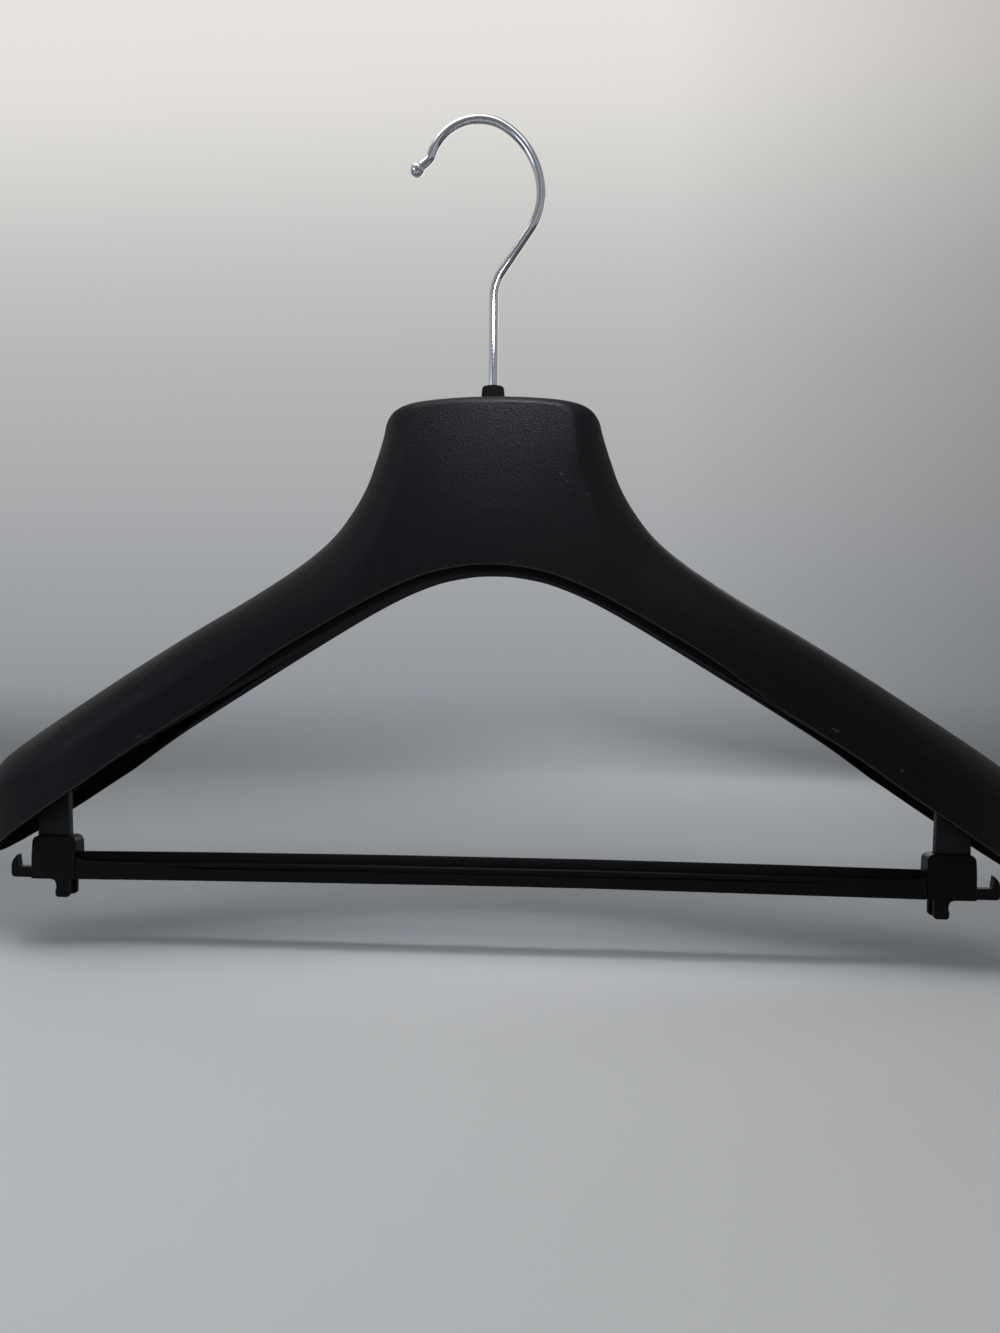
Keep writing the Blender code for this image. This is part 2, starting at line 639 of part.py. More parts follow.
prong_outline = [
    (PRONG_INNER_X, BAR_BOTTOM + JOIN_BITE),
    (PRONG_INNER_X, PRONG_SOLE + PRONG_CORNER),
    (PRONG_INNER_X + PRONG_CORNER, PRONG_SOLE),
    (PRONG_OUTER_X + PRONG_TOE - PRONG_CORNER, PRONG_SOLE),
    (PRONG_OUTER_X + PRONG_TOE, PRONG_SOLE + PRONG_CORNER),
    (PRONG_OUTER_X + PRONG_TOE, PRONG_NECK - PRONG_TOE),
    (PRONG_OUTER_X, PRONG_NECK),
    (PRONG_OUTER_X, BAR_BOTTOM - PRONG_FILLET),
    (PRONG_OUTER_X + PRONG_FILLET * ARC_MIDDLE, BAR_BOTTOM - PRONG_FILLET * ARC_MIDDLE),
    (PRONG_OUTER_X + PRONG_FILLET, BAR_BOTTOM),
    (PRONG_OUTER_X + PRONG_FILLET, BAR_BOTTOM + JOIN_BITE),
]
prong_shape = bmesh.new()
add_prism(prong_shape, prong_outline, -COLLAR_HALF_DEPTH, -COLLAR_HALF_DEPTH + PRONG_THICKNESS)
add_prism(prong_shape, prong_outline, COLLAR_HALF_DEPTH - PRONG_THICKNESS, COLLAR_HALF_DEPTH)
prongs = add_object("foot_prongs", mesh_from("foot prongs", prong_shape), guide=True)

loop_outline = [
    (COLLAR_OUTER_X - JOIN_BITE, LOOP_SEAT),
    (LOOP_UPRIGHT_X, LOOP_SEAT),
    (LOOP_UPRIGHT_X + LOOP_LEAN, LOOP_TIP),
    (LOOP_END_X - LOOP_LEAN, LOOP_TIP - LOOP_TIP_SLOPE),
    (LOOP_END_X, LOOP_TIP - LOOP_BACK_DROP),
    (LOOP_END_X, BAR_BOTTOM + LOOP_CORNER),
    (LOOP_END_X - LOOP_CORNER * ARC_MIDDLE, BAR_BOTTOM + LOOP_CORNER * ARC_MIDDLE),
    (LOOP_END_X - LOOP_CORNER, BAR_BOTTOM),
    (COLLAR_OUTER_X - JOIN_BITE, BAR_BOTTOM),
]
loop_shape = bmesh.new()
add_prism(loop_shape, loop_outline, -LOOP_HALF_DEPTH, LOOP_HALF_DEPTH)
loop = add_object("skirt_loop_hook", mesh_from("skirt loop hook", loop_shape), guide=True)

for joined in (tongue, prongs, loop):
    boolean(collar, joined, "UNION")
boolean(collar, socket, "DIFFERENCE")

collar_mesh = evaluated_mesh(collar)
collar_mesh.name = "right end collar"
mirrored_mesh = collar_mesh.copy()
mirrored_mesh.name = "left end collar"
mirrored_mesh.transform(Matrix.Diagonal((-1.0, 1.0, 1.0, 1.0)))
mirrored_mesh.flip_normals()
right_collar = add_object("right_end_collar", collar_mesh, smooth_plastic)
left_collar = add_object("left_end_collar", mirrored_mesh, smooth_plastic)


# Moving groups: the hook turns about the swivel axis, and the bar slides down off the legs

hook_group = bpy.data.objects.new("hook_group", None)
bar_group = bpy.data.objects.new("bar_group", None)
for group, members in (
    (hook_group, (wire, ball, retainer)),
    (bar_group, (bar, strip, left_collar, right_collar)),
):
    parts.objects.link(group)
    for member in members:
        member.parent = group
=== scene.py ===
"""Looks of the suit hanger: the finish of every moulded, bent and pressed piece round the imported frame.

Metres, +Z up and -Y the front. The origin is the rail seat on the hook's inner crown.
"""

from collections import namedtuple
import math

import bmesh
import bpy
from mathutils import Matrix, Vector


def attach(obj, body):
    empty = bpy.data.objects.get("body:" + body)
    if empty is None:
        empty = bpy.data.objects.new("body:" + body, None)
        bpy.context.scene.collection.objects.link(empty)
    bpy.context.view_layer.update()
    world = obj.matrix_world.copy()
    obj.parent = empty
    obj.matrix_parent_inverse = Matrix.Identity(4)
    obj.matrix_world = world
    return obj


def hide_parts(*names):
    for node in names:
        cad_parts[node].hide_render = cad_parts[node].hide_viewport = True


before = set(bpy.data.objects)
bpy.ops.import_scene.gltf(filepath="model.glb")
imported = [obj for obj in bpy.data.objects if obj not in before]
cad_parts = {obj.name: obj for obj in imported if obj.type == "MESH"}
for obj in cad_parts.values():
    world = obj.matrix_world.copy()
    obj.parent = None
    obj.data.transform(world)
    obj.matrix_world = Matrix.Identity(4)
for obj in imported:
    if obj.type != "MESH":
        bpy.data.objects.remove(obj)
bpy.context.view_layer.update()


# Camera. It stands 43 cm in front of the shoulders and 35 mm below the crown of the shell's arch,
# and looks 4 degrees to the left. The lens is about as wide as a phone's.

MM = 0.001

camera_data = bpy.data.cameras.new("camera")
camera_data.lens = 27.03
camera = bpy.data.objects.new("camera", camera_data)
bpy.context.scene.collection.objects.link(camera)
bpy.context.scene.camera = camera
camera.matrix_world = (
    Matrix.Translation((34.2 * MM, -430 * MM, -227.3 * MM))
    @ Matrix.Rotation(math.radians(4.03), 4, "Z")
    @ Matrix.Rotation(math.radians(90 - 0.56), 4, "X")
    @ Matrix.Rotation(math.radians(0.45), 4, "Z")
)


# Shoulder shell. One injection moulding in black polypropylene, hollow and open underneath, with a
# leather grain etched into the mould. It narrows from a box-like neck into two broad arms, and its
# lower edge is folded inwards as a flat rim that closes under the neck and opens towards the tips.

# Sizes in mm. The draft is how far the wall leans in from its foot to its top.
NECK_TOP = -118.0
SHELL_WALL = 2.2
WALL_DRAFT = 1.0
EDGE_RADIUS = 0.45

# One section of the arm in mm: the places of its top and of its rim, with heights below the neck's
# top, half its depth, half the slot between the folded rims, the height of the fold, how far the
# top's rounding goes across and down, and how much of that rounding is a flat facet
Section = namedtuple("Section", "top_x top_z low_x low_z half slot fold across down facet")
SECTIONS = (
    (0.0, 0.0, 0.0, -73.9, 14.0, 0.0, 3.0, 3.5, 3.5, 0.0),
    (18.0, -0.6, 7.0, -74.1, 14.0, 0.0, 3.0, 3.5, 3.5, 0.0),
    (33.0, -2.2, 13.0, -74.9, 14.0, 0.0, 3.0, 3.8, 5.5, 0.1),
    (41.0, -4.8, 18.0, -75.8, 14.0, 0.0, 3.0, 6.0, 18.0, 0.4),
    (45.2, -9.0, 22.0, -76.7, 14.0, 0.0, 3.0, 9.5, 24.5, 0.6),
    (47.3, -15.6, 26.0, -77.9, 14.1, 0.0, 3.0, 12.0, 24.4, 0.6),
    (50.4, -25.2, 31.0, -79.7, 14.3, 0.0, 3.0, 12.8, 23.4, 0.6),
    (54.5, -36.4, 38.0, -82.6, 14.6, 0.0, 3.0, 13.2, 22.0, 0.6),
    (60.7, -47.4, 47.0, -87.0, 15.1, 0.0, 3.0, 13.6, 22.2, 0.5),
    (69.7, -58.9, 58.0, -93.0, 16.0, 0.0, 3.0, 14.4, 22.8, 0.4),
    (83.0, -70.0, 73.0, -101.8, 17.3, 0.0, 3.0, 15.7, 22.6, 0.25),
    (104.0, -83.9, 95.0, -115.1, 19.2, 1.6, 3.2, 17.5, 21.5, 0.1),
    (130.0, -99.6, 122.0, -131.6, 21.6, 8.0, 4.6, 19.8, 21.5, 0.0),
    (155.0, -115.2, 148.0, -148.1, 24.2, 18.0, 6.0, 22.3, 22.0, 0.0),
    (175.0, -128.3, 168.0, -162.5, 25.8, 23.6, 6.0, 23.8, 22.0, 0.0),
)
ROWS_BETWEEN = 5

# The tip goes on at the arm's slope to these places, and its crown drops and rounds off there
TIP_ROWS = 16
TIP_TOP_X = 221.5
TIP_LOW_X = 221.0
ARM_SLOPE = 0.66
TIP_DROP = 8.0
TIP_ROUNDING = 8.0

# The wall stands out over the rim by this much, up to where the step starts to die out
STEP_DEPTH = 1.4
STEP_FADES_FROM = 84.0
STEP_GONE_AT = 121.0

ROOF_STEPS = 16
WALL_SHARES = (0.2, 0.4, 0.6, 0.8)


def section_between(before, start, end, after, t):
    """A section on the smooth curve from start to end."""
    return Section(*(
        0.5 * (2 * b + (c - a) * t + (2 * a - 5 * b + 4 * c - d) * t ** 2 + (3 * b - a - 3 * c + d) * t ** 3)
        for a, b, c, d in zip(before, start, end, after)
    ))


def depth_left(turn):
    """How much of the depth is left that far round the tip, with nothing at all at its end."""
    return math.cos(turn) if turn < math.pi / 2 else 0.0


def shell_rows():
    """Sections from the neck's middle to the tip, each with how far it is round the tip's half ellipse."""
    second, last, before_last = SECTIONS[1], Section(*SECTIONS[-1]), SECTIONS[-2]
    mirrored = (-second[0], second[1], -second[2], *second[3:])
    beyond = tuple(2 * a - b for a, b in zip(last, before_last))
    guide = [mirrored, *SECTIONS, beyond]
    found = []
    for i in range(1, len(guide) - 2):
        for step in range(ROWS_BETWEEN):
            found.append((section_between(*guide[i - 1:i + 3], step / ROWS_BETWEEN), 0.0))
    found.append((last, 0.0))
    for step in range(1, TIP_ROWS + 1):
        turn = math.pi / 2 * step / TIP_ROWS
        reach = math.sin(turn)
        keep = depth_left(turn)
        top_x = last.top_x + (TIP_TOP_X - last.top_x) * reach
        low_x = last.low_x + (TIP_LOW_X - last.low_x) * reach
        found.append((last._replace(
            top_x=top_x,
            top_z=last.top_z - ARM_SLOPE * (top_x - last.top_x) - TIP_DROP * (1 - keep) ** 3,
            low_x=low_x,
            low_z=last.low_z - ARM_SLOPE * (low_x - last.low_x),
            slot=min(last.slot + (last.half - last.slot) * reach * 2, last.half),
            down=TIP_ROUNDING + (last.down - TIP_ROUNDING) * keep,
        ), turn))
    return found


def wall_length(row):
    """The section's height along its own slope."""
    return math.dist((row.top_x, row.top_z), (row.low_x, row.low_z))


def roof(shoulder, length, across, down, facet):
    """Points from the crown over the rounded shoulder to where the wall starts."""
    # A wide rounding stays a little clear of the crown
    across = min(across, shoulder * 0.96)
    points = [(0.0, length)]
    for step in range(ROOF_STEPS + 1):
        share = step / ROOF_STEPS
        over = (1 - facet) * math.sin(math.pi / 2 * share) + facet * share
        fall = (1 - facet) * (1 - math.cos(math.pi / 2 * share)) + facet * share
        points.append((shoulder - across * (1 - over), length - down * fall))
    return points


def rounded(before, corner, after, radius):
    """A corner as four points of a soft curve, which starts a radius away, or 45 % along a short side."""
    before, corner, after = Vector(before), Vector(corner), Vector(after)
    start = corner + (before - corner).normalized() * min(radius, (before - corner).length * 0.45)
    end = corner + (after - corner).normalized() * min(radius, (after - corner).length * 0.45)
    return [start * (1 - t) ** 2 + corner * 2 * t * (1 - t) + end * t * t for t in (0.0, 0.3, 0.7, 1.0)]


def smooth_share(value, start, end):
    """0 up to start, 1 from end on, and a soft curve between them."""
    share = min(max((value - start) / (end - start), 0.0), 1.0)
    return share * share * (3 - 2 * share)


def step_left(low_x):
    """How much is left of the step above the rim, which is whole in the middle and gone at the tips."""
    return 1 - smooth_share(low_x, STEP_FADES_FROM, STEP_GONE_AT)


def placed(row, points, turn, shift=0.0):
    """Section points of depth and height as places in metres, drawn in towards the tip."""
    low = Vector((row.low_x - shift, 0.0, row.low_z + NECK_TOP))
    up = Vector((row.top_x - row.low_x, 0.0, row.top_z - row.low_z)).normalized()
    keep = depth_left(turn)
    return [(low + up * height + Vector((0.0, depth * keep, 0.0))) * MM for depth, height in points]


def lower_edge(row):
    """Points round the wall's lower edge, which is the edge of the rim itself where there is no step."""
    step_back = STEP_DEPTH * step_left(row.low_x)
    wall_foot = row.fold * step_left(row.low_x)
    # The wall's last point, a fifth of the way up it, from which the edge is rounded
    wall_end = (row.half - 0.2 * WALL_DRAFT, wall_foot + (wall_length(row) - row.down - wall_foot) * 0.2)
    if not step_back:
        return rounded(wall_end, (row.half, 0.0), (row.slot, 0.0), EDGE_RADIUS)
    step_radius = max(step_back / 2, 0.3)
    return rounded(wall_end, (row.half, wall_foot), (row.half - step_back, wall_foot), step_radius)


def skin_section(row, turn):
    """Half of the outer skin, from the crown down the wall to the start of its lower edge."""
    shoulder = row.half - WALL_DRAFT
    outer = roof(shoulder, wall_length(row), row.across, row.down, row.facet)
    wall_top = wall_length(row) - row.down
    wall_foot = row.fold * step_left(row.low_x)
    for share in WALL_SHARES:
        outer.append((shoulder + WALL_DRAFT * share, wall_top + (wall_foot - wall_top) * share))
    return placed(row, outer + lower_edge(row)[:1], turn)


def edge_section(row, turn):
    """The rounded lower edge itself, where the two halves of the mould part."""
    return placed(row, lower_edge(row), turn)


def core_section(row, turn):
    """Half of what the mould's core leaves: the stepped rim underneath, and the inside up to the crown."""
    slot = max(row.slot, 0.0)
    step_back = STEP_DEPTH * step_left(row.low_x)
    rim = (slot, 0.0)
    inner_half = row.half - SHELL_WALL
    # Over the last 1.5 mm before the slot reaches the wall, the folded rim thins out to nothing
    plate = SHELL_WALL * smooth_share(inner_half - slot, 0.0, 1.5)
    inside = (min(slot, inner_half), plate)
    # The inside of the wall follows the step in part, from 1 mm above the fold down
    corner = (inner_half - 0.6 * step_back, plate)
    lip_radius = min(EDGE_RADIUS, slot)
    under = lower_edge(row)[-1:]
    if step_back:
        nook = (row.half - step_back, row.fold * step_left(row.low_x))
        foot = (row.half - step_back, 0.0)
        under += [nook, *rounded(nook, foot, rim, EDGE_RADIUS)]
    else:
        # Every row has as many points, so without a step all six lie in one place
        foot = under[0]
        under *= 6
    under += rounded(foot, rim, inside, lip_radius)
    under += rounded(rim, inside, corner, lip_radius)
    inner = roof(inner_half - WALL_DRAFT, wall_length(row) - SHELL_WALL, row.across, row.down, row.facet)
    inner.append((inner_half, row.fold + 1.0))
    inner.append(corner)
    return placed(row, under, turn) + placed(row, inner[::-1], turn, SHELL_WALL * math.sin(turn))


def only(kind, items):
    """The vertices, edges or faces among the items."""
    return [item for item in items if isinstance(item, kind)]


def pull_section(bm, rows, section, number):
    """Adds one half section's skin to the mesh, one row at a time, in the material of that number."""
    places = section(*rows[0])
    verts = [bm.verts.new((0.0, place.y, place.z)) for place in places]
    chain = [bm.edges.new(pair) for pair in zip(verts, verts[1:])]
    for row in rows[1:]:
        grown = bmesh.ops.extrude_edge_only(bm, edges=chain)["geom"]
        fresh = set(only(bmesh.types.BMVert, grown))
        verts = [next(e.other_vert(v) for e in v.link_edges if e.other_vert(v) in fresh) for v in verts]
        for vert, place in zip(verts, section(*row)):
            vert.co = place
        chain = [edge for edge in only(bmesh.types.BMEdge, grown) if fresh.issuperset(edge.verts)]
        for face in only(bmesh.types.BMFace, grown):
            face.material_index = number


def draw_along(rows, *sections):
    """Pulls half sections along the arm, each in a material of its own, and mirrors them both ways."""
    bm = bmesh.new()
    for number, section in enumerate(sections):
        pull_section(bm, rows, section, number)
    # Where the slot is shut, the rim's own edge lies on the middle and isn't needed
    on_middle = [f for f in bm.faces if all(v.co.y < 0.001 * MM for v in f.verts)]
    bmesh.ops.delete(bm, geom=on_middle, context="FACES")
    touching = 0.004 * MM
    bmesh.ops.remove_doubles(bm, verts=bm.verts, dist=touching)
    bmesh.ops.dissolve_degenerate(bm, edges=bm.edges, dist=0.002 * MM)
    for axis in "XY":
        bmesh.ops.mirror(bm, geom=bm.verts[:] + bm.edges[:] + bm.faces[:], axis=axis, merge_dist=touching)
    bmesh.ops.recalc_face_normals(bm, faces=bm.faces)
    return bm


def add_piece(name, bm, material):
    """Links a bmesh as a smooth-shaded piece of the hanger."""
    mesh = bpy.data.meshes.new(name)
    bm.to_mesh(mesh)
    bm.free()
    mesh.shade_smooth()
    mesh.materials.append(material)
    piece = bpy.data.objects.new(name, mesh)
    bpy.context.scene.collection.objects.link(piece)
    return piece


def linear(colour):
    """An sRGB hex colour as the linear colour that a shader takes."""
    shares = [int(colour[i:i + 2], 16) / 255 for i in (1, 3, 5)]
    return (*[s / 12.92 if s <= 0.04045 else ((s + 0.055) / 1.055) ** 2.4 for s in shares], 1.0)


def add_node(material, kind, inputs, **settings):
    """Adds a shader node, makes its settings, and fills its inputs with values or other nodes' outputs."""
    made = material.node_tree.nodes.new("ShaderNode" + kind)
    for name, value in settings.items():
        setattr(made, name, value)
    for key, value in inputs.items():
        if isinstance(value, bpy.types.NodeSocket):
            material.node_tree.links.new(value, made.inputs[key])
        else:
            made.inputs[key].default_value = value
    return made.outputs


def start_material(name):
    """An empty material, and the place on the object in metres."""
    material = bpy.data.materials.new(name)
    material.use_nodes = True
    material.node_tree.nodes.clear()
    return material, add_node(material, "TexCoord", {})["Object"]


# The sockets of a Mix node that blends two colours
BLEND, COLOUR_A, COLOUR_B, BLENDED = 0, 6, 7, 2

# Black polypropylene from a grained mould: satin, with a fine leather grain that breaks up the
# highlights, faint cloudy differences in gloss from handling, and a few pale scuffs.
grained_black, place = start_material("moulded_polypropylene_leather_grain")
# Wrinkles about 0.7 mm apart, which is the leather grain, wander by up to 1.1 mm every 2.4 mm or so
wander = add_node(grained_black, "TexNoise", {"Vector": place, "Scale": 420.0, "Detail": 2.0})["Color"]
bent_place = add_node(grained_black, "VectorMath", {0: wander, 1: (0.0011, 0.0011, 0.0011), 2: place},
                      operation="MULTIPLY_ADD")["Vector"]
wrinkle = add_node(grained_black, "TexVoronoi", {"Vector": bent_place, "Scale": 1400.0, "Smoothness": 0.25},
                   feature="SMOOTH_F1")["Distance"]
# Tooth of the etched steel, from 0.6 mm down, which is coarser than the real one so that it shows
tooth = add_node(grained_black, "TexNoise", {"Vector": place, "Scale": 1700.0, "Detail": 3.0})["Fac"]
height = add_node(grained_black, "Math", {0: tooth, 1: 0.9, 2: wrinkle}, operation="MULTIPLY_ADD")["Value"]
bump = add_node(grained_black, "Bump", {"Height": height, "Strength": 1.0, "Distance": 0.00015})["Normal"]
low_bump = add_node(grained_black, "Bump", {"Height": height, "Strength": 1.0, "Distance": 0.00006})["Normal"]
# Clouds of gloss about 4 cm across
cloud = add_node(grained_black, "TexNoise", {"Vector": place, "Scale": 26.0, "Detail": 4.0})["Fac"]
gloss = add_node(grained_black, "MapRange", {"Value": cloud, "From Min": 0.3, "From Max": 0.7,
                                             "To Min": 0.40, "To Max": 0.52})["Result"]
# Scuffs, each with its middle and half sizes in mm and its turn in degrees, frayed by the tooth
scuffs = 0.0
for middle, reach, turn in (
    ((-145.6, -24.5, -261.8), (2.4, 3.0, 0.5), -12),
    ((140.1, -23.0, -255.7), (2.0, 3.0, 0.6), 28),
    ((165.1, -25.0, -271.0), (1.0, 3.0, 0.9), 0),
    ((30.0, -13.9, -151.4), (1.5, 3.0, 0.4), 48),
    ((32.4, -13.9, -154.4), (1.3, 3.0, 0.35), 60),
    ((41.2, -13.8, -159.5), (1.8, 3.0, 0.3), -28),
    ((9.4, -14.0, -187.5), (0.5, 3.0, 0.9), 0),
):
    near = add_node(grained_black, "Mapping", {
        "Vector": place,
        "Location": Vector(middle) * MM,
        "Rotation": (0.0, math.radians(turn), 0.0),
        "Scale": Vector(reach) * MM,
    }, vector_type="TEXTURE")["Vector"]
    away = add_node(grained_black, "VectorMath", {0: near}, operation="LENGTH")["Value"]
    ragged = add_node(grained_black, "Math", {0: tooth, 1: 3.0, 2: away}, operation="MULTIPLY_ADD")["Value"]
    mark = add_node(grained_black, "MapRange", {"Value": ragged, "From Min": 1.5, "From Max": 2.3,
                                                "To Min": 1.0, "To Max": 0.0})["Result"]
    scuffs = add_node(grained_black, "Math", {0: mark, 1: scuffs}, operation="MAXIMUM")["Value"]
# The grain's valleys are painted darker as shade, and its tops are a little greyed by wear
valley_shade_and_wear = add_node(grained_black, "MapRange", {"Value": height, "From Min": 0.6, "From Max": 1.05})["Result"]
grain_shade_and_wear = add_node(grained_black, "Mix", {BLEND: valley_shade_and_wear, COLOUR_A: linear("#010101"),
                                               COLOUR_B: linear("#101013")}, data_type="RGBA")[BLENDED]
colour = add_node(grained_black, "Mix", {BLEND: scuffs, COLOUR_A: grain_shade_and_wear,
                                         COLOUR_B: linear("#4c4c4e")}, data_type="RGBA")[BLENDED]
shader = add_node(grained_black, "BsdfPrincipled", {"Base Color": colour, "Roughness": gloss, "IOR": 1.49,
                                                    "Specular IOR Level": 0.1, "Normal": bump,
                                                    "Coat Weight": 0.05, "Coat Roughness": 0.24,
                                                    "Coat Normal": low_bump})["BSDF"]
add_node(grained_black, "OutputMaterial", {"Surface": shader})

# The same plastic on the mould's core side, the rim underneath and the inside: spark-eroded, so it
# is dead matt. Its tooth is drawn at 0.45 mm, which is coarser than the real one so that it shows.
core_black, place = start_material("moulded_polypropylene_core_side")
tooth = add_node(core_black, "TexNoise", {"Vector": place, "Scale": 2200.0, "Detail": 2.0})["Fac"]
bump = add_node(core_black, "Bump", {"Height": tooth, "Strength": 0.6, "Distance": 0.0001})["Normal"]
shade = add_node(core_black, "Mix", {BLEND: tooth, COLOUR_A: linear("#09090a"),
                                     COLOUR_B: linear("#0f0f11")}, data_type="RGBA")[BLENDED]
shader = add_node(core_black, "BsdfPrincipled", {"Base Color": shade, "Roughness": 0.95, "IOR": 1.49,
                                                 "Specular IOR Level": 0.08, "Normal": bump})["BSDF"]
add_node(core_black, "OutputMaterial", {"Surface": shader})

# Where the mould parts, the lower edge has no grain and is rubbed glossy by the clothes, in patches
# about 6 mm long
parting_black, place = start_material("moulded_polypropylene_rubbed_edge")
nicks = add_node(parting_black, "TexNoise", {"Vector": place, "Scale": 160.0, "Detail": 3.0})["Fac"]
gloss = add_node(parting_black, "MapRange", {"Value": nicks, "From Min": 0.35, "From Max": 0.65,
                                             "To Min": 0.26, "To Max": 0.44})["Result"]
shader = add_node(parting_black, "BsdfPrincipled", {"Base Color": linear("#111113"), "Roughness": gloss,
                                                    "IOR": 1.49})["BSDF"]
add_node(parting_black, "OutputMaterial", {"Surface": shader})

arm_rows = shell_rows()
skins = draw_along(arm_rows, skin_section, edge_section, core_section)
shell = add_piece("shoulder_shell", skins, grained_black)
shell.data.materials.append(parting_black)
shell.data.materials.append(core_black)
shell.modifiers.new("Flats", "WEIGHTED_NORMAL")
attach(shell, "shell")
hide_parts("hanger_shell")


# Ribs inside the shell. Thin plates across each arm, at both sides of each leg and through the hook's
# boss, moulded with the shell and as matt as its inside. Each is the hollow's own outline, cut to a
# plate.

RIB_THICKNESS = 1.6
RIB_PLACES = (130.0, 158.0, 188.1, 199.4, 210.0)
BOSS_RIB_FOOT = -132.0

# A rib bites this far into the wall, and stops this much higher where the slot is open
RIB_BITE = 1.0
RIB_RECESS = 4.0

# A plate is cut from a slice that reaches past the shell's front and back, and below its tips
PAST_SIDE = 40.0
BELOW_TIPS = -330.0


def hollow_section(row, turn):
    """Half of the hollow that a rib fills."""
    base = RIB_BITE + min(max(row.slot, 0.0), RIB_RECESS)
    shoulder = row.half - (WALL_DRAFT + RIB_BITE)
    points = roof(shoulder, wall_length(row) - RIB_BITE, row.across, row.down, row.facet)
    # The rib's foot is level across the middle and goes up at both sides to clear the fold
    points += [(row.half - RIB_BITE, max(row.fold, base)), (row.half * 0.6, base), (0.0, base)]
    return placed(row, points, turn, RIB_BITE * math.sin(turn))


def slice_of_hollow(low, high):
    """The part of the shell's hollow between two corners, in mm, as a closed plate."""
    bm = draw_along(arm_rows, hollow_section)
    for axis in range(3):
        for corner, side in ((low, -1), (high, 1)):
            normal = Vector((0.0, 0.0, 0.0))
            normal[axis] = side
            bmesh.ops.bisect_plane(bm, geom=bm.verts[:] + bm.edges[:] + bm.faces[:], dist=0.001 * MM,
                                   plane_co=Vector(corner) * MM, plane_no=normal, clear_outer=True)
            rim = [e for e in bm.edges if e.is_boundary]
            if rim:
                bmesh.ops.holes_fill(bm, edges=rim, sides=0)
    bmesh.ops.recalc_face_normals(bm, faces=bm.faces)
    mesh = bpy.data.meshes.new("slice")
    bm.to_mesh(mesh)
    bm.free()
    return mesh


def rib_plate(middle, foot):
    """A rib across the shell at that x, from its foot to the roof."""
    return slice_of_hollow((middle - RIB_THICKNESS / 2, -PAST_SIDE, foot),
                           (middle + RIB_THICKNESS / 2, PAST_SIDE, NECK_TOP))


def soften_edges(piece, width, segments=3, angle=30):
    """Rounds every edge sharper than the angle and keeps the flats flat in shading."""
    bevel = piece.modifiers.new("Softened edges", "BEVEL")
    bevel.width = width
    bevel.segments = segments
    bevel.limit_method = "ANGLE"
    bevel.angle_limit = math.radians(angle)
    # The bevel leaves a few corners with vertices in one place that aren't joined
    closed = piece.modifiers.new("Closed corners", "WELD")
    closed.merge_threshold = 0.001 * MM
    flats = piece.modifiers.new("Flats", "WEIGHTED_NORMAL")
    flats.keep_sharp = True


ribs = bmesh.new()
for x in RIB_PLACES:
    for middle in (-x, x):
        ribs.from_mesh(rib_plate(middle, BELOW_TIPS))
ribs.from_mesh(rib_plate(0.0, BOSS_RIB_FOOT))

rib_piece = add_piece("shell_ribs", ribs, core_black)
soften_edges(rib_piece, 0.2 * MM, segments=1, angle=60)
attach(rib_piece, "shell")
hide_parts("hanger_shell")


# Legs. Two flat posts moulded with the shell, which come down out of the hollow shoulders and carry
# the trouser bar. Inside the shoulder each grows into a web that reaches the roof.

LEG_INNER_X = 186.5
LEG_OUTER_X = 201.0
LEG_TOP = -276.0
LEG_FOOT = -324.2
LEG_HALF_DEPTH = 1.9
LEG_WEB_FOOT = -291.0

# Black polypropylene from a plain, milled part of the mould: smoother than the grained skin, with
# faint flow clouds about 25 mm long and 1 to 2.5 mm wide. The tool's marks are drawn at 0.7 mm,
# which is coarser than the real ones so that they show.
plain_black, place = start_material("moulded_polypropylene_plain")
stretched = add_node(plain_black, "Mapping", {"Vector": place, "Scale": (40.0, 400.0, 900.0)})["Vector"]
drawn = add_node(plain_black, "TexNoise", {"Vector": stretched, "Scale": 1.0, "Detail": 3.0})["Fac"]
tool_marks = add_node(plain_black, "TexNoise", {"Vector": place, "Scale": 1500.0, "Detail": 2.0})["Fac"]
relief = add_node(plain_black, "Math", {0: drawn, 1: 0.6, 2: tool_marks}, operation="MULTIPLY_ADD")["Value"]
bump = add_node(plain_black, "Bump", {"Height": relief, "Strength": 0.25, "Distance": 0.00005})["Normal"]
gloss = add_node(plain_black, "MapRange", {"Value": drawn, "From Min": 0.3, "From Max": 0.7,
                                           "To Min": 0.40, "To Max": 0.50})["Result"]
shade = add_node(plain_black, "Mix", {BLEND: tool_marks, COLOUR_A: linear("#0d0d0f"),
                                      COLOUR_B: linear("#121214")}, data_type="RGBA")[BLENDED]
shader = add_node(plain_black, "BsdfPrincipled", {"Base Color": shade, "Roughness": gloss, "IOR": 1.49,
                                                  "Specular IOR Level": 0.26, "Normal": bump})["BSDF"]
add_node(plain_black, "OutputMaterial", {"Surface": shader})

